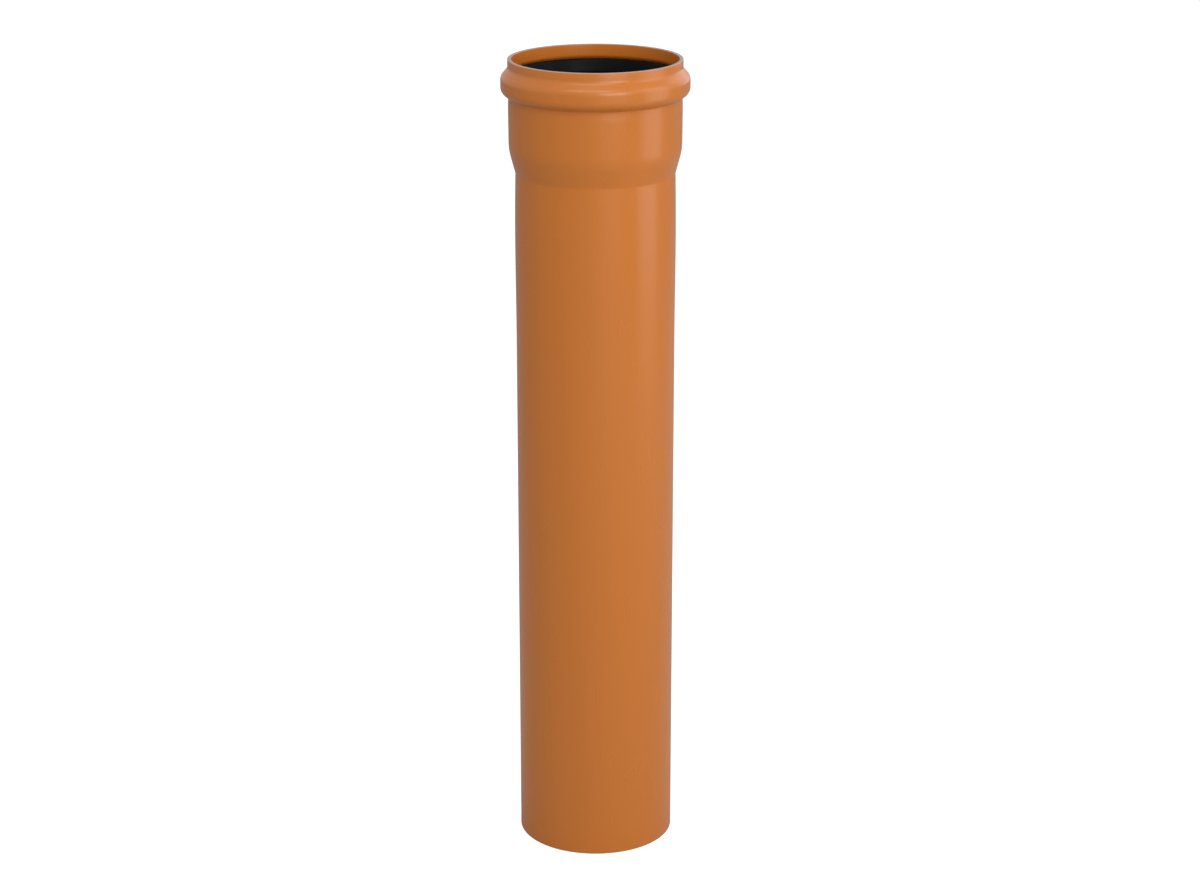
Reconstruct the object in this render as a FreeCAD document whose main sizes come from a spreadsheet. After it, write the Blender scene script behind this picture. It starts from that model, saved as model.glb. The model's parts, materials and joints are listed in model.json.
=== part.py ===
import FreeCAD, Part
import math
import os

import Sketcher

# A sewer pipe of rigid PVC, 110 mm across and 500 mm in laying length, with one formed socket.
# It stands upright on its plain (spigot) end with the socket at the top.
# Millimetres, +Z up along the pipe, origin at the middle of the spigot end's cut face.
# Heights are measured from that cut face and radii from the pipe's axis.

DRIVING_DIMENSIONS = [
    # alias, value, what it is
    ("pipe_radius", 55.0, "outside of the plain pipe"),
    ("bore_radius", 51.8, "inside of the plain pipe: a wall of 3.2"),
    ("spigot_edge", 0.4, "rounding of the outer edge at the cut spigot end"),
    ("bore_edge", 0.3, "rounding of the inner edge at the cut spigot end"),
    ("swell_start", 386.0, "where the reheated length begins to swell"),
    ("swell_start_bend", 3400.0, "long curve from the straight pipe into the swell"),
    ("swell_radius", 55.33, "outside of the swell below the socket"),
    ("swell_low", 426.0, "lower corner of the swell"),
    ("swell_low_bend", 3200.0, "long curve of that corner"),
    ("swell_high", 461.5, "upper corner, where the swell draws in to the neck"),
    ("swell_high_bend", 1850.0, "long curve of that corner"),
    ("neck_radius", 54.75, "outside of the neck, where the socket begins to open"),
    ("neck_height", 487.9, "height of the neck"),
    ("neck_bend", 4.5, "curve in the neck"),
    ("barrel_radius", 59.15, "outside of the socket's barrel at its lower end"),
    ("barrel_height", 504.2, "where the taper meets the barrel"),
    ("barrel_bend", 38.0, "soft curve from the taper into the barrel"),
    ("crest_radius", 59.34, "faint crest round the barrel just below the bead"),
    ("crest_height", 534.2, "height of the crest"),
    ("crest_bend", 60.0, "curve over the crest"),
    ("bead_foot_radius", 59.08, "where the barrel draws in to meet the bead"),
    ("bead_foot", 540.1, "height of that corner, under the bead"),
    ("bead_foot_bend", 1.0, "tight curve under the bead"),
    ("bead_radius", 64.35, "outside of the bead that houses the seal"),
    ("bead_low_corner", 543.9, "lower corner of the bead"),
    ("bead_low_bend", 6.1, "curve of the lower corner"),
    ("bead_high_corner", 554.1, "upper corner of the bead"),
    ("bead_high_bend", 6.0, "curve of the upper corner"),
    ("lip_radius", 59.5, "outside of the lip above the bead"),
    ("lip_foot", 559.6, "where the bead's shoulder meets the lip"),
    ("lip_foot_bend", 4.0, "hollow curve there"),
    ("rim_height", 566.0, "overall height: the cut rim of the socket"),
    ("rim_edge", 0.3, "rounding of both edges of the rim"),
    ("lip_bore_radius", 56.9, "inside of the lip"),
    ("groove_top", 557.7, "where the lip's bore opens into the seal groove"),
    ("groove_top_bend", 3.3, "curve there"),
    ("groove_radius", 61.4, "floor of the seal groove"),
    ("groove_high_corner", 552.6, "upper corner of the groove"),
    ("groove_high_bend", 0.8, "curve of that corner"),
    ("groove_low_corner", 545.5, "lower corner of the groove"),
    ("groove_low_bend", 3.1, "curve of that corner"),
    ("socket_radius", 55.9, "inside of the barrel, which takes another pipe's spigot"),
    ("groove_foot", 541.5, "where the groove meets the barrel's bore"),
    ("groove_foot_bend", 4.0, "curve there"),
    ("stop_height", 504.6, "where the barrel's bore closes in"),
    ("stop_bend", 35.0, "soft curve there"),
    ("stop_foot", 488.9, "where the taper meets the pipe's own bore"),
    ("stop_foot_bend", 7.7, "curve there"),
    ("seal_radius", 61.4, "back of the seal, against the groove's floor"),
    ("seal_back_low", 547.3, "lower corner of the seal's back"),
    ("seal_back_high", 552.2, "upper corner of the seal's back"),
    ("seal_shoulder_radius", 58.0, "shoulder under the groove's upper face"),
    ("seal_top", 556.0, "top of the seal"),
    ("seal_bore_radius", 56.0, "inner face, squeezed clear of the socket's bore"),
    ("seal_lip_low", 544.2, "low edge of the folded sealing lip"),
    ("seal_lip_back_low", 57.2, "back of the lip at its low edge"),
    ("seal_lip_back_high", 57.5, "back of the lip at its root"),
    ("seal_slot_top", 550.4, "root of the slot between the lip and the body"),
    ("seal_body_high", 58.4, "body's side of the slot at its root"),
    ("seal_body_low", 58.9, "body's side of the slot at its mouth"),
    ("seal_body_foot", 545.2, "low edge of the seal's body"),
    ("seal_edge", 0.5, "rounding of the seal's small edges"),
    ("seal_slot_edge", 0.35, "rounding at the root of the slot"),
    ("seal_nose", 1.2, "rounding of the seal's top inner edge, where a spigot enters"),
]

# Each section is one closed outline of rounded corners: (radius, height, rounding) by alias.
# A height of None puts the corner on the level of the spigot end.
PIPE_SECTION = [
    # the outside, from the spigot end up to the rim
    ("pipe_radius", None, "spigot_edge"),
    ("pipe_radius", "swell_start", "swell_start_bend"),
    ("swell_radius", "swell_low", "swell_low_bend"),
    ("swell_radius", "swell_high", "swell_high_bend"),
    ("neck_radius", "neck_height", "neck_bend"),
    ("barrel_radius", "barrel_height", "barrel_bend"),
    ("crest_radius", "crest_height", "crest_bend"),
    ("bead_foot_radius", "bead_foot", "bead_foot_bend"),
    ("bead_radius", "bead_low_corner", "bead_low_bend"),
    ("bead_radius", "bead_high_corner", "bead_high_bend"),
    ("lip_radius", "lip_foot", "lip_foot_bend"),
    ("lip_radius", "rim_height", "rim_edge"),
    # the inside, from the rim back down
    ("lip_bore_radius", "rim_height", "rim_edge"),
    ("lip_bore_radius", "groove_top", "groove_top_bend"),
    ("groove_radius", "groove_high_corner", "groove_high_bend"),
    ("groove_radius", "groove_low_corner", "groove_low_bend"),
    ("socket_radius", "groove_foot", "groove_foot_bend"),
    ("socket_radius", "stop_height", "stop_bend"),
    ("bore_radius", "stop_foot", "stop_foot_bend"),
    ("bore_radius", None, "bore_edge"),
]

SEAL_SECTION = [
    # the back and the top of the ring
    ("seal_radius", "seal_back_low", "seal_edge"),
    ("seal_radius", "seal_back_high", "seal_edge"),
    ("seal_shoulder_radius", "seal_top", "seal_edge"),
    ("seal_bore_radius", "seal_top", "seal_nose"),
    # the sealing lip, folded back against the body as a spigot holds it
    ("seal_bore_radius", "seal_lip_low", "seal_edge"),
    ("seal_lip_back_low", "seal_lip_low", "seal_edge"),
    ("seal_lip_back_high", "seal_slot_top", "seal_slot_edge"),
    ("seal_body_high", "seal_slot_top", "seal_slot_edge"),
    ("seal_body_low", "seal_body_foot", "seal_edge"),
]

SHEET_NAME = "Sizes"
MM3_PER_CM3 = 1000.0
# how a constraint names a line's ends, a lone point, the sketch's origin and its level axis
START, END = 1, 2
POINT = 1
ORIGIN_POINT = (-1, 1)
LEVEL_AXIS = -1


def add_sheet(doc):
    """Keep the driving dimensions in a spreadsheet: name, value and meaning on each row."""
    sheet = doc.addObject("Spreadsheet::Sheet", SHEET_NAME)
    for row, (alias, value, meaning) in enumerate(DRIVING_DIMENSIONS, start=1):
        sheet.set(f"A{row}", alias)
        sheet.set(f"B{row}", str(value))
        sheet.setAlias(f"B{row}", alias)
        sheet.set(f"C{row}", meaning)
    doc.recompute()
    return sheet


def corner_arc(before, corner, after, radius):
    """Round one corner of an outline: the arc, and which of its ends the outline meets first."""
    back = (before - corner).normalize()
    ahead = (after - corner).normalize()
    half_angle = back.getAngle(ahead) / 2
    run = radius / math.tan(half_angle)
    centre = corner + (back + ahead).normalize() * (radius / math.sin(half_angle))
    first = corner + back * run
    last = corner + ahead * run
    circle = Part.Circle(centre, FreeCAD.Vector(0, 0, 1), radius)
    turns_left = back.cross(ahead).z < 0
    if turns_left:
        arc = Part.ArcOfCircle(circle, circle.parameter(first), circle.parameter(last))
        return arc, first, last, START, END
    arc = Part.ArcOfCircle(circle, circle.parameter(last), circle.parameter(first))
    return arc, first, last, END, START


def bind(sketch, constraint, name, alias):
    """Add a dimension to a sketch and drive it from the sheet."""
    index = sketch.addConstraint(constraint)
    sketch.renameConstraint(index, name)
    sketch.setExpression(f"Constraints.{name}", f"{SHEET_NAME}.{alias}")


def draw_section(sketch, sheet, corners):
    """Draw a closed outline of straight sides and rounded corners, every size from the sheet."""
    points = []
    for radius_alias, height_alias, _ in corners:
        height = sheet.get(height_alias) if height_alias else 0
        points.append(FreeCAD.Vector(sheet.get(radius_alias), height, 0))

    rounded = []
    for i, corner in enumerate(points):
        after = points[(i + 1) % len(points)]
        rounding = sheet.get(corners[i][2])
        rounded.append(corner_arc(points[i - 1], corner, after, rounding))

    arcs = []
    sides = []
    marks = []
    for i, (arc, _, last, _, _) in enumerate(rounded):
        next_first = rounded[(i + 1) % len(rounded)][1]
        arcs.append(sketch.addGeometry(arc, False))
        sides.append(sketch.addGeometry(Part.LineSegment(last, next_first), False))
        marks.append(sketch.addGeometry(Part.Point(points[i]), True))

    for i, (radius_alias, height_alias, rounding_alias) in enumerate(corners):
        _, _, _, first_end, last_end = rounded[i]
        side_before = sides[i - 1]
        side_after = sides[i]
        mark = marks[i]
        sketch.addConstraint(Sketcher.Constraint("Tangent", side_before, END, arcs[i], first_end))
        sketch.addConstraint(Sketcher.Constraint("Tangent", arcs[i], last_end, side_after, START))
        sketch.addConstraint(Sketcher.Constraint("PointOnObject", mark, POINT, side_before))
        sketch.addConstraint(Sketcher.Constraint("PointOnObject", mark, POINT, side_after))
        across = Sketcher.Constraint("DistanceX", *ORIGIN_POINT, mark, POINT, points[i].x)
        bind(sketch, across, f"corner{i}_radius", radius_alias)
        if height_alias:
            up = Sketcher.Constraint("DistanceY", *ORIGIN_POINT, mark, POINT, points[i].y)
            bind(sketch, up, f"corner{i}_height", height_alias)
        else:
            sketch.addConstraint(Sketcher.Constraint("PointOnObject", mark, POINT, LEVEL_AXIS))
        bend = Sketcher.Constraint("Radius", arcs[i], sheet.get(rounding_alias))
        bind(sketch, bend, f"corner{i}_rounding", rounding_alias)


def turned_body(doc, sheet, label, corners):
    """A body made by turning one section a full circle about the pipe's axis."""
    body = doc.addObject("PartDesign::Body", label)
    body.Label = label
    upright_plane = next(f for f in body.Origin.OriginFeatures if f.Role == "XZ_Plane")
    sketch = body.newObject("Sketcher::SketchObject", f"{label}_section")
    sketch.AttachmentSupport = [(upright_plane, "")]
    sketch.MapMode = "FlatFace"
    doc.recompute()
    draw_section(sketch, sheet, corners)
    turned = body.newObject("PartDesign::Revolution", f"{label}_turned")
    turned.Profile = sketch
    turned.ReferenceAxis = (sketch, ["V_Axis"])
    turned.Angle = 360
    body.Tip = turned
    return body


def check_document(doc, bodies):
    """Stop if any object failed to rebuild, a sketch is loose, or a piece has no sound solid."""
    for item in doc.Objects:
        if "Invalid" in item.State or "Error" in item.State:
            raise RuntimeError(f"{item.Name} failed: {item.State}")
    for sketch in doc.findObjects("Sketcher::SketchObject"):
        if not sketch.FullyConstrained:
            raise RuntimeError(f"{sketch.Name} isn't fully constrained")
    for body in bodies:
        if body.Shape.isNull() or not body.Shape.isValid() or len(body.Shape.Solids) != 1:
            raise RuntimeError(f"{body.Label} isn't one sound solid")


def main():
    doc = FreeCAD.newDocument("sewer_pipe")
    sheet = add_sheet(doc)
    pipe = turned_body(doc, sheet, "pipe", PIPE_SECTION)
    seal_ring = turned_body(doc, sheet, "seal_ring", SEAL_SECTION)
    bodies = [pipe, seal_ring]
    doc.recompute()
    check_document(doc, bodies)
    os.makedirs("parts", exist_ok=True)
    for body in bodies:
        body.Shape.exportStep(f"parts/{body.Label}.step")
        print(f"{body.Label}: {body.Shape.Volume / MM3_PER_CM3:.1f} cm3")


main()
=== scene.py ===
"""A 110 mm PVC sewer pipe with a ring-seal socket, standing on its spigot end in a white studio.

Metres, +Z up along the pipe, origin at the middle of the spigot end's cut face.
"""
import json
import math

import bmesh
import bpy
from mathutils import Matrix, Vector


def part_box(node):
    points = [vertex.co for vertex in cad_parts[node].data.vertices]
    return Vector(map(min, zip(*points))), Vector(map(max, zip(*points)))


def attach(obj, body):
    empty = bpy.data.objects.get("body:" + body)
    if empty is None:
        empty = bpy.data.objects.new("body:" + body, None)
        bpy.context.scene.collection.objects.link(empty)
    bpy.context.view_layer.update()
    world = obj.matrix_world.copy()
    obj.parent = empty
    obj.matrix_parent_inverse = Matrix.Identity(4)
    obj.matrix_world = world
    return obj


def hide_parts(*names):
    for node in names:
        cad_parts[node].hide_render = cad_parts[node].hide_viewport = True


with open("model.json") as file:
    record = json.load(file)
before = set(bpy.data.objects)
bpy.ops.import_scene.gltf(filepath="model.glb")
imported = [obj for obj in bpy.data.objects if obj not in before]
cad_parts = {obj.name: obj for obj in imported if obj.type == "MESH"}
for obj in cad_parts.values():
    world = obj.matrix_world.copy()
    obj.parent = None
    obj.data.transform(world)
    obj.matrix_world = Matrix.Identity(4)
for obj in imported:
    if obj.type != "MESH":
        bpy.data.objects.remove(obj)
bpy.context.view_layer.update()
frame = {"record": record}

# ---------------------------------------------------------------- sizes, from the frame

MM = 0.001
mount_size = {m["name"]: m["dims"] for m in frame["record"]["mounts"]}
PIPE_RADIUS = mount_size["spigot"]["r_mm"] * MM
BORE_RADIUS = mount_size["pipe_bore"]["r_mm"] * MM
SOCKET_RADIUS = mount_size["socket"]["r_mm"] * MM
BEAD_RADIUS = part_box("pipe")[1].x
RIM_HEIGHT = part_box("pipe")[1].z
SEAL_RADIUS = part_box("seal_ring")[1].x
SEAL_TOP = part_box("seal_ring")[1].z

# how finely a section is turned, and each of its roundings divided
STEPS_AROUND = 224
STEPS_PER_CORNER = 8


def below_rim(millimetres):
    """A height given as the drop from the socket's rim."""
    return RIM_HEIGHT - millimetres * MM


def pipe_section():
    """The wall of pipe and formed socket: (radius, height, rounding) at each corner."""
    swell_radius = PIPE_RADIUS + 0.33 * MM
    neck_radius = PIPE_RADIUS - 0.25 * MM
    barrel_radius = SOCKET_RADIUS + 3.25 * MM
    crest_radius = SOCKET_RADIUS + 3.44 * MM
    bead_foot_radius = SOCKET_RADIUS + 3.18 * MM
    lip_radius = BEAD_RADIUS - 4.85 * MM
    lip_bore_radius = lip_radius - 2.6 * MM
    outside = [
        (PIPE_RADIUS, 0.0, 0.4 * MM),
        (PIPE_RADIUS, below_rim(180.0), 3400 * MM),
        (swell_radius, below_rim(140.0), 3200 * MM),
        (swell_radius, below_rim(104.5), 1850 * MM),
        (neck_radius, below_rim(78.1), 4.5 * MM),
        (barrel_radius, below_rim(61.8), 38 * MM),
        (crest_radius, below_rim(31.8), 60 * MM),
        (bead_foot_radius, below_rim(25.9), 1.0 * MM),
        (BEAD_RADIUS, below_rim(22.1), 6.1 * MM),
        (BEAD_RADIUS, below_rim(11.9), 6.0 * MM),
        (lip_radius, below_rim(6.4), 4.0 * MM),
        (lip_radius, RIM_HEIGHT, 0.3 * MM),
    ]
    inside = [
        (lip_bore_radius, RIM_HEIGHT, 0.3 * MM),
        (lip_bore_radius, below_rim(8.3), 3.3 * MM),
        (SEAL_RADIUS, below_rim(13.4), 0.8 * MM),
        (SEAL_RADIUS, below_rim(20.5), 3.1 * MM),
        (SOCKET_RADIUS, below_rim(24.5), 4.0 * MM),
        (SOCKET_RADIUS, below_rim(61.4), 35 * MM),
        (BORE_RADIUS, below_rim(77.1), 7.7 * MM),
        (BORE_RADIUS, 0.0, 0.3 * MM),
    ]
    return outside + inside


def seal_section():
    """The rubber ring with its lip sprung free: (radius, height, rounding) at each corner."""
    body = [
        (SEAL_RADIUS, below_rim(18.7), 0.5 * MM),
        (SEAL_RADIUS, below_rim(13.8), 0.5 * MM),
        (SEAL_RADIUS - 3.4 * MM, SEAL_TOP, 0.5 * MM),
        (SEAL_RADIUS - 5.2 * MM, SEAL_TOP, 1.0 * MM),
    ]
    lip = [
        (SEAL_RADIUS - 7.9 * MM, below_rim(18.6), 0.6 * MM),
        (SEAL_RADIUS - 7.0 * MM, below_rim(19.4), 0.6 * MM),
        (SEAL_RADIUS - 4.6 * MM, below_rim(14.6), 0.6 * MM),
    ]
    foot = [
        (SEAL_RADIUS - 3.4 * MM, below_rim(14.6), 0.6 * MM),
        (SEAL_RADIUS - 3.0 * MM, below_rim(21.4), 0.7 * MM),
    ]
    return body + lip + foot


# ---------------------------------------------------------------- turning a section

def turned_section_tree():
    """Geometry nodes that round the corners of a section and turn it full circle about Z."""
    tree = bpy.data.node_groups.new("turned_section", "GeometryNodeTree")
    sockets = tree.interface
    sockets.new_socket("Section", in_out="INPUT", socket_type="NodeSocketGeometry")
    sockets.new_socket("Steps Around", in_out="INPUT", socket_type="NodeSocketInt")
    sockets.new_socket("Steps Per Corner", in_out="INPUT", socket_type="NodeSocketInt")
    sockets.new_socket("Path Radius", in_out="INPUT", socket_type="NodeSocketFloat")
    sockets.new_socket("Finish", in_out="INPUT", socket_type="NodeSocketMaterial")
    sockets.new_socket("Turned", in_out="OUTPUT", socket_type="NodeSocketGeometry")

    nodes = tree.nodes
    link = tree.links.new
    given = nodes.new("NodeGroupInput")
    result = nodes.new("NodeGroupOutput")

    outline = nodes.new("GeometryNodeMeshToCurve")
    rounding = nodes.new("GeometryNodeInputNamedAttribute")
    rounding.data_type = "FLOAT"
    rounding.inputs["Name"].default_value = "rounding"
    round_corners = nodes.new("GeometryNodeFilletCurve")
    round_corners.mode = "POLY"
    link(given.outputs["Section"], outline.inputs["Mesh"])
    link(outline.outputs["Curve"], round_corners.inputs["Curve"])
    link(given.outputs["Steps Per Corner"], round_corners.inputs["Count"])
    link(rounding.outputs["Attribute"], round_corners.inputs["Radius"])

    # the sweep hangs a section upside down on its path, so it is turned over first
    inwards = nodes.new("ShaderNodeMath")
    inwards.operation = "MULTIPLY"
    inwards.inputs[1].default_value = -1.0
    offset = nodes.new("ShaderNodeCombineXYZ")
    onto_path = nodes.new("GeometryNodeTransform")
    onto_path.inputs["Rotation"].default_value = (math.pi, 0.0, 0.0)
    link(given.outputs["Path Radius"], inwards.inputs[0])
    link(inwards.outputs["Value"], offset.inputs["X"])
    link(offset.outputs["Vector"], onto_path.inputs["Translation"])
    link(round_corners.outputs["Curve"], onto_path.inputs["Geometry"])

    path = nodes.new("GeometryNodeCurvePrimitiveCircle")
    link(given.outputs["Steps Around"], path.inputs["Resolution"])
    link(given.outputs["Path Radius"], path.inputs["Radius"])
    turn = nodes.new("GeometryNodeCurveToMesh")
    link(path.outputs["Curve"], turn.inputs["Curve"])
    link(onto_path.outputs["Geometry"], turn.inputs["Profile Curve"])

    smooth = nodes.new("GeometryNodeSetShadeSmooth")
    real = nodes.new("GeometryNodeRealizeInstances")
    finish = nodes.new("GeometryNodeSetMaterial")
    link(turn.outputs["Mesh"], smooth.inputs["Geometry"])
    link(smooth.outputs["Geometry"], real.inputs["Geometry"])
    link(real.outputs["Geometry"], finish.inputs["Geometry"])
    link(given.outputs["Finish"], finish.inputs["Material"])
    link(finish.outputs["Geometry"], result.inputs["Turned"])
    return tree


def section_mesh(name, corners):
    """A closed outline in the XY plane, radius along X and height along Y."""
    count = len(corners)
    points = [(radius, height, 0.0) for radius, height, _ in corners]
    sides = [(i, (i + 1) % count) for i in range(count)]
    mesh = bpy.data.meshes.new(name)
    mesh.from_pydata(points, sides, [])
    rounding = mesh.attributes.new("rounding", "FLOAT", "POINT")
    rounding.data.foreach_set("value", [corner[2] for corner in corners])
    return mesh


def face_outwards(mesh):
    """Point every face of a closed mesh away from its solid."""
    shell = bmesh.new()
    shell.from_mesh(mesh)
    bmesh.ops.recalc_face_normals(shell, faces=shell.faces)
    shell.to_mesh(mesh)
    shell.free()


def turned_piece(name, corners, tree, finish):
    """A plain closed mesh made by turning a section, with its material on it."""
    pattern = bpy.data.objects.new(name + "_section", section_mesh(name + "_section", corners))
    bpy.context.scene.collection.objects.link(pattern)
    turning = pattern.modifiers.new("turning", "NODES")
    turning.node_group = tree
    socket_id = {s.name: s.identifier for s in tree.interface.items_tree if s.in_out == "INPUT"}
    turning[socket_id["Steps Around"]] = STEPS_AROUND
    turning[socket_id["Steps Per Corner"]] = STEPS_PER_CORNER
    turning[socket_id["Path Radius"]] = corners[0][0]
    turning[socket_id["Finish"]] = finish
    evaluated = pattern.evaluated_get(bpy.context.evaluated_depsgraph_get())
    mesh = bpy.data.meshes.new_from_object(evaluated)
    bpy.data.objects.remove(pattern)
    mesh.name = name
    face_outwards(mesh)
    piece = bpy.data.objects.new(name, mesh)
    bpy.context.scene.collection.objects.link(piece)
    return piece


# ---------------------------------------------------------------- finishes

ORANGE = (0.585, 0.175, 0.021, 1.0)
ORANGE_SHADE = (0.52, 0.154, 0.019, 1.0)
# pale tone of the sawn ends, which on the socket's rim also stands in for a painted highlight
SAWN_PVC_AND_HIGHLIGHT = (0.42, 0.34, 0.29, 1.0)
RUBBER_BLACK = (0.0015, 0.0015, 0.0015, 1.0)
RUBBER_BLOOM = (0.004, 0.004, 0.005, 1.0)
PVC_IOR = 1.53
RUBBER_IOR = 1.5
# bumps in a sawn edge for each metre of it
SAW_MARKS_PER_METRE = 900.0

# the colour sockets of a Mix node, which share their names with its number and vector sockets
MIX_FIRST_COLOUR = 6
MIX_SECOND_COLOUR = 7
MIX_RESULT_COLOUR = 2


def shader_group(name, inputs, output):
    """An empty shader node group with float inputs and one float output."""
    group = bpy.data.node_groups.new(name, "ShaderNodeTree")
    for label, value in inputs:
        socket = group.interface.new_socket(label, in_out="INPUT", socket_type="NodeSocketFloat")
        socket.default_value = value
    group.interface.new_socket(output, in_out="OUTPUT", socket_type="NodeSocketFloat")
    return group


def drawn_grain_group():
    """Cloudy grain, drawn out along Z: fine lines at a high stretch, blotches at a stretch of 1."""
    inputs = [("Per Metre", 100.0), ("Stretch", 1.0), ("Contrast", 1.0)]
    group = shader_group("drawn_grain", inputs, "Grain")
    nodes = group.nodes
    link = group.links.new
    given = nodes.new("NodeGroupInput")
    result = nodes.new("NodeGroupOutput")
    place = nodes.new("ShaderNodeTexCoord")
    split = nodes.new("ShaderNodeSeparateXYZ")
    shorten = nodes.new("ShaderNodeMath")
    shorten.operation = "DIVIDE"
    drawn = nodes.new("ShaderNodeCombineXYZ")
    noise = nodes.new("ShaderNodeTexNoise")
    noise.inputs["Detail"].default_value = 4.0
    link(place.outputs["Object"], split.inputs["Vector"])
    link(split.outputs["Z"], shorten.inputs[0])
    link(given.outputs["Stretch"], shorten.inputs[1])
    link(split.outputs["X"], drawn.inputs["X"])
    link(split.outputs["Y"], drawn.inputs["Y"])
    link(shorten.outputs["Value"], drawn.inputs["Z"])
    link(drawn.outputs["Vector"], noise.inputs["Vector"])
    link(given.outputs["Per Metre"], noise.inputs["Scale"])

    centred = nodes.new("ShaderNodeMath")
    centred.operation = "SUBTRACT"
    centred.inputs[1].default_value = 0.5
    scaled = nodes.new("ShaderNodeMath")
    scaled.operation = "MULTIPLY_ADD"
    scaled.inputs[2].default_value = 0.5
    scaled.use_clamp = True
    link(noise.outputs["Fac"], centred.inputs[0])
    link(centred.outputs["Value"], scaled.inputs[0])
    link(given.outputs["Contrast"], scaled.inputs[1])
    link(scaled.outputs["Value"], result.inputs["Grain"])
    return group


def end_band_group():
    """1 beyond a height and 0 short of it, with a ragged edge, as a saw leaves an end.

    Side is 1 where the band lies above the height, and -1 where it lies below.
    """
    inputs = [("Height", 0.0), ("Side", 1.0), ("Fade", 0.001), ("Ragged", 0.0)]
    group = shader_group("end_band", inputs, "Band")
    nodes = group.nodes
    link = group.links.new
    given = nodes.new("NodeGroupInput")
    result = nodes.new("NodeGroupOutput")
    place = nodes.new("ShaderNodeTexCoord")
    split = nodes.new("ShaderNodeSeparateXYZ")
    link(place.outputs["Object"], split.inputs["Vector"])

    # distance past the height, counted towards the band's side
    past = nodes.new("ShaderNodeMath")
    past.operation = "SUBTRACT"
    link(split.outputs["Z"], past.inputs[0])
    link(given.outputs["Height"], past.inputs[1])
    outward = nodes.new("ShaderNodeMath")
    outward.operation = "MULTIPLY"
    link(past.outputs["Value"], outward.inputs[0])
    link(given.outputs["Side"], outward.inputs[1])

    noise = nodes.new("ShaderNodeTexNoise")
    noise.inputs["Scale"].default_value = SAW_MARKS_PER_METRE
    noise.inputs["Detail"].default_value = 3.0
    link(place.outputs["Object"], noise.inputs["Vector"])
    centred = nodes.new("ShaderNodeMath")
    centred.operation = "SUBTRACT"
    centred.inputs[1].default_value = 0.5
    link(noise.outputs["Fac"], centred.inputs[0])
    wander = nodes.new("ShaderNodeMath")
    wander.operation = "MULTIPLY_ADD"
    link(centred.outputs["Value"], wander.inputs[0])
    link(given.outputs["Ragged"], wander.inputs[1])
    link(outward.outputs["Value"], wander.inputs[2])

    fade = nodes.new("ShaderNodeMath")
    fade.operation = "DIVIDE"
    fade.use_clamp = True
    link(wander.outputs["Value"], fade.inputs[0])
    link(given.outputs["Fade"], fade.inputs[1])
    link(fade.outputs["Value"], result.inputs["Band"])
    return group


def place_group(nodes, group, **values):
    """A node group in a material, with its own values; a name's underscores stand for spaces."""
    node = nodes.new("ShaderNodeGroup")
    node.node_tree = group
    for label, value in values.items():
        node.inputs[label.replace("_", " ")].default_value = value
    return node


def mix_colour(nodes, link, factor, first, second):
    """Mix two colours, each a constant or a node's output."""
    mix = nodes.new("ShaderNodeMix")
    mix.data_type = "RGBA"
    link(factor, mix.inputs["Factor"])
    for index, colour in ((MIX_FIRST_COLOUR, first), (MIX_SECOND_COLOUR, second)):
        socket = mix.inputs[index]
        if isinstance(colour, tuple):
            socket.default_value = colour
        else:
            link(colour, socket)
    return mix.outputs[MIX_RESULT_COLOUR]


def map_value(nodes, link, value, low, high):
    """Spread a 0 to 1 value over low to high."""
    spread = nodes.new("ShaderNodeMapRange")
    spread.inputs["To Min"].default_value = low
    spread.inputs["To Max"].default_value = high
    link(value, spread.inputs["Value"])
    return spread.outputs["Result"]


def new_material(name):
    """A new material, with its nodes, the function that links them, and its Principled BSDF."""
    material = bpy.data.materials.new(name)
    material.use_nodes = True
    nodes = material.node_tree.nodes
    return material, nodes, material.node_tree.links.new, nodes["Principled BSDF"]


def pvc_material(grain, end_band):
    """Orange-brown extruded PVC: satin, with faint lines along the pipe and pale sawn ends; on the
    socket's rim the pale colour is also a painted highlight.
    """
    material, nodes, link, shader = new_material("orange_pvc")
    lines = place_group(nodes, grain, Per_Metre=420.0, Stretch=400.0, Contrast=0.9)
    clouds = place_group(nodes, grain, Per_Metre=22.0, Stretch=6.0, Contrast=1.4)
    rim_start = RIM_HEIGHT - 0.25 * MM
    foot_start = 0.15 * MM
    rim = place_group(nodes, end_band, Height=rim_start, Side=1.0, Fade=0.1 * MM, Ragged=0.25 * MM)
    foot = place_group(nodes, end_band, Height=foot_start, Side=-1.0, Fade=0.1 * MM, Ragged=0.2 * MM)
    # mask of both sawn ends; on the rim it also places a painted highlight
    sawn_and_highlight = nodes.new("ShaderNodeMath")
    sawn_and_highlight.operation = "MAXIMUM"
    link(rim.outputs["Band"], sawn_and_highlight.inputs[0])
    link(foot.outputs["Band"], sawn_and_highlight.inputs[1])

    line_shade = map_value(nodes, link, lines.outputs["Grain"], 0.0, 0.2)
    cloud_shade = map_value(nodes, link, clouds.outputs["Grain"], 0.0, 0.35)
    body = mix_colour(nodes, link, line_shade, ORANGE, ORANGE_SHADE)
    body = mix_colour(nodes, link, cloud_shade, body, ORANGE_SHADE)
    colour = mix_colour(nodes, link, sawn_and_highlight.outputs["Value"], body, SAWN_PVC_AND_HIGHLIGHT)
    link(colour, shader.inputs["Base Color"])

    sheen = map_value(nodes, link, clouds.outputs["Grain"], 0.24, 0.30)
    rough_ends = nodes.new("ShaderNodeMath")
    rough_ends.operation = "MULTIPLY_ADD"
    rough_ends.inputs[1].default_value = 0.35
    link(sawn_and_highlight.outputs["Value"], rough_ends.inputs[0])
    link(sheen, rough_ends.inputs[2])
    link(rough_ends.outputs["Value"], shader.inputs["Roughness"])

    relief = nodes.new("ShaderNodeBump")
    relief.inputs["Strength"].default_value = 0.02
    relief.inputs["Distance"].default_value = 0.05 * MM
    link(lines.outputs["Grain"], relief.inputs["Height"])
    link(relief.outputs["Normal"], shader.inputs["Normal"])
    shader.inputs["IOR"].default_value = PVC_IOR
    return material


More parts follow.
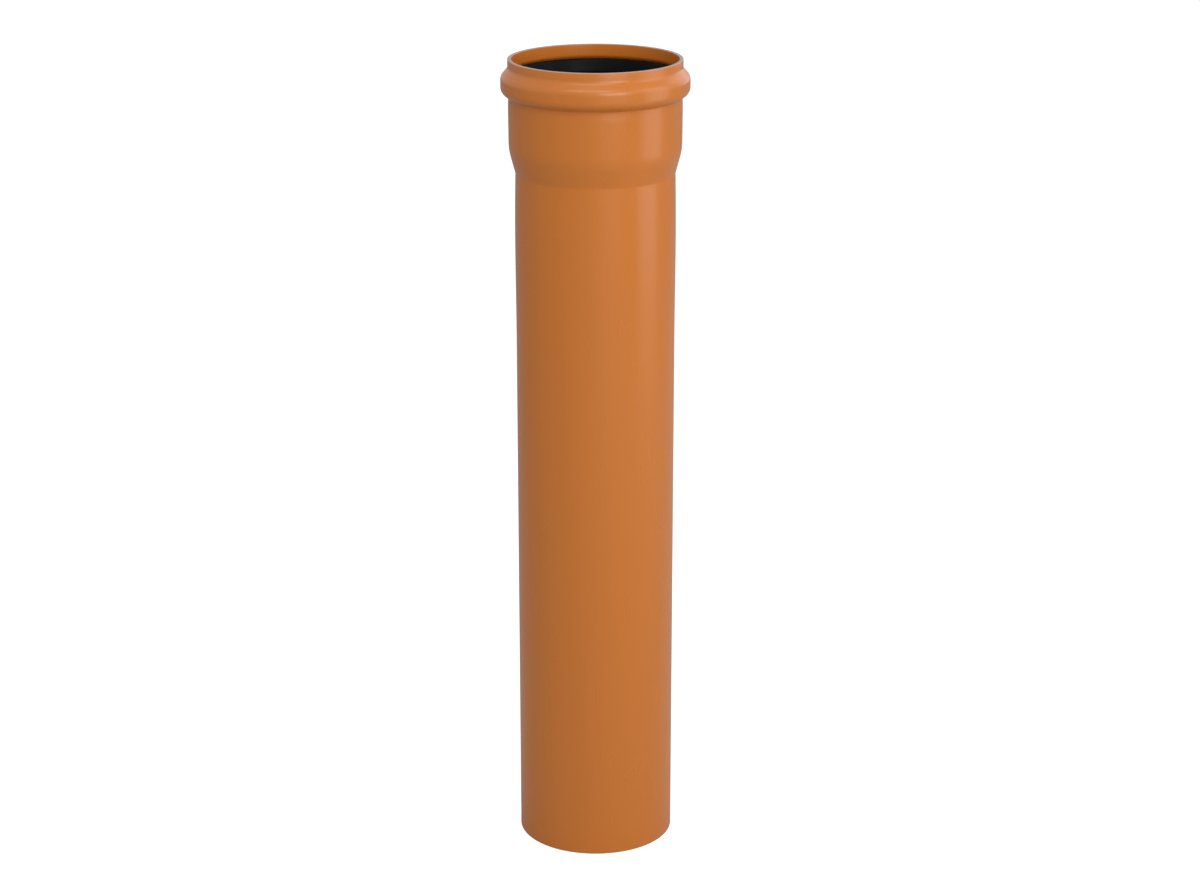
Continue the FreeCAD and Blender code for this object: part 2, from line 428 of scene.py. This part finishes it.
def rubber_material(grain):
    """Black moulded rubber with a thin grey bloom."""
    material, nodes, link, shader = new_material("black_rubber")
    bloom = place_group(nodes, grain, Per_Metre=90.0, Stretch=1.0, Contrast=2.2)
    fine = place_group(nodes, grain, Per_Metre=2600.0, Stretch=1.0, Contrast=1.5)
    bloom_shade = map_value(nodes, link, bloom.outputs["Grain"], 0.0, 0.6)
    colour = mix_colour(nodes, link, bloom_shade, RUBBER_BLACK, RUBBER_BLOOM)
    link(colour, shader.inputs["Base Color"])
    link(map_value(nodes, link, bloom.outputs["Grain"], 0.34, 0.5), shader.inputs["Roughness"])
    relief = nodes.new("ShaderNodeBump")
    relief.inputs["Strength"].default_value = 0.2
    relief.inputs["Distance"].default_value = 0.03 * MM
    link(fine.outputs["Grain"], relief.inputs["Height"])
    link(relief.outputs["Normal"], shader.inputs["Normal"])
    shader.inputs["IOR"].default_value = RUBBER_IOR
    shader.inputs["Specular IOR Level"].default_value = 0.1
    return material


# ---------------------------------------------------------------- studio

# the camera stands in front of the pipe, on -Y, and pitches down towards it
CAMERA_DISTANCE = 1.788
CAMERA_HEIGHT = 0.873
CAMERA_PITCH = math.radians(17.85)
CAMERA_YAW = math.radians(0.10)
CAMERA_LENS = 79.9

WORLD_LEVEL = 0.643
FLOOR_SIZE = 12.0
FLOOR_WHITE = (0.45, 0.45, 0.45, 1.0)
# added to the floor in the camera's eye alone, so that it reads as white but keeps its shadow
FLOOR_LIFT = 0.80


def add_camera():
    """Look down on the standing pipe from the front."""
    data = bpy.data.cameras.new("camera")
    data.lens = CAMERA_LENS
    camera = bpy.data.objects.new("camera", data)
    camera.location = (0.0, -CAMERA_DISTANCE, CAMERA_HEIGHT)
    camera.rotation_euler = (math.radians(90) - CAMERA_PITCH, 0.0, -CAMERA_YAW)
    bpy.context.scene.collection.objects.link(camera)
    bpy.context.scene.camera = camera


def add_softbox(name, location, target, width, height, power):
    """A rectangular softbox at a place, turned to face a target."""
    data = bpy.data.lights.new(name, "AREA")
    data.shape = "RECTANGLE"
    data.size = width
    data.size_y = height
    data.energy = power
    lamp = bpy.data.objects.new(name, data)
    lamp.location = location
    facing = Vector(target) - Vector(location)
    lamp.rotation_euler = facing.to_track_quat("-Z", "Y").to_euler()
    lamp.visible_camera = False
    bpy.context.scene.collection.objects.link(lamp)


def add_world():
    """A plain grey-white room, which the camera sees as white."""
    world = bpy.data.worlds.new("studio")
    world.use_nodes = True
    nodes = world.node_tree.nodes
    link = world.node_tree.links.new
    background = nodes["Background"]
    background.inputs["Color"].default_value = (1.0, 1.0, 1.0, 1.0)
    ray = nodes.new("ShaderNodeLightPath")
    level = nodes.new("ShaderNodeMath")
    level.operation = "MAXIMUM"
    level.inputs[1].default_value = WORLD_LEVEL
    link(ray.outputs["Is Camera Ray"], level.inputs[0])
    link(level.outputs["Value"], background.inputs["Strength"])
    bpy.context.scene.world = world


def add_floor():
    """A white floor that keeps a faint shadow under the pipe."""
    material, nodes, link, shader = new_material("white_floor")
    shader.inputs["Base Color"].default_value = FLOOR_WHITE
    shader.inputs["Roughness"].default_value = 0.9
    shader.inputs["Specular IOR Level"].default_value = 0.0
    shader.inputs["Emission Color"].default_value = (1.0, 1.0, 1.0, 1.0)
    ray = nodes.new("ShaderNodeLightPath")
    lift = nodes.new("ShaderNodeMath")
    lift.operation = "MULTIPLY"
    lift.inputs[1].default_value = FLOOR_LIFT
    link(ray.outputs["Is Camera Ray"], lift.inputs[0])
    link(lift.outputs["Value"], shader.inputs["Emission Strength"])

    half = FLOOR_SIZE / 2
    corners = [(-half, -half, 0), (half, -half, 0), (half, half, 0), (-half, half, 0)]
    mesh = bpy.data.meshes.new("floor")
    mesh.from_pydata(corners, [], [(0, 1, 2, 3)])
    mesh.materials.append(material)
    floor = bpy.data.objects.new("floor", mesh)
    bpy.context.scene.collection.objects.link(floor)


def add_lights():
    """Softboxes: one high, one tall at the right, a broad fill in front, and one behind."""
    middle = (0.0, 0.0, 0.40)
    add_softbox("high_softbox", (-0.085, -0.971, 1.793), middle, 1.3, 0.4, 5.6)
    add_softbox("side_softbox", (1.28, -0.25, 0.80), (0.0, 0.0, 0.6), 0.8, 1.55, 5.1)
    add_softbox("front_softbox", (0.85, -1.95, 0.97), middle, 1.2, 1.2, 15.2)
    add_softbox("rear_softbox", (1.12, 1.33, 0.97), middle, 1.2, 1.4, 3.4)


# ---------------------------------------------------------------- the object

bpy.context.scene.view_settings.view_transform = "Standard"
add_camera()
add_world()
add_floor()
add_lights()

grain = drawn_grain_group()
end_band = end_band_group()
pvc = pvc_material(grain, end_band)
rubber = rubber_material(grain)
turning = turned_section_tree()

pipe = turned_piece("socketed_pipe", pipe_section(), turning, pvc)
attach(pipe, "root")
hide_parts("pipe")

seal = turned_piece("lip_seal", seal_section(), turning, rubber)
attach(seal, "root")
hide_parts("seal_ring")
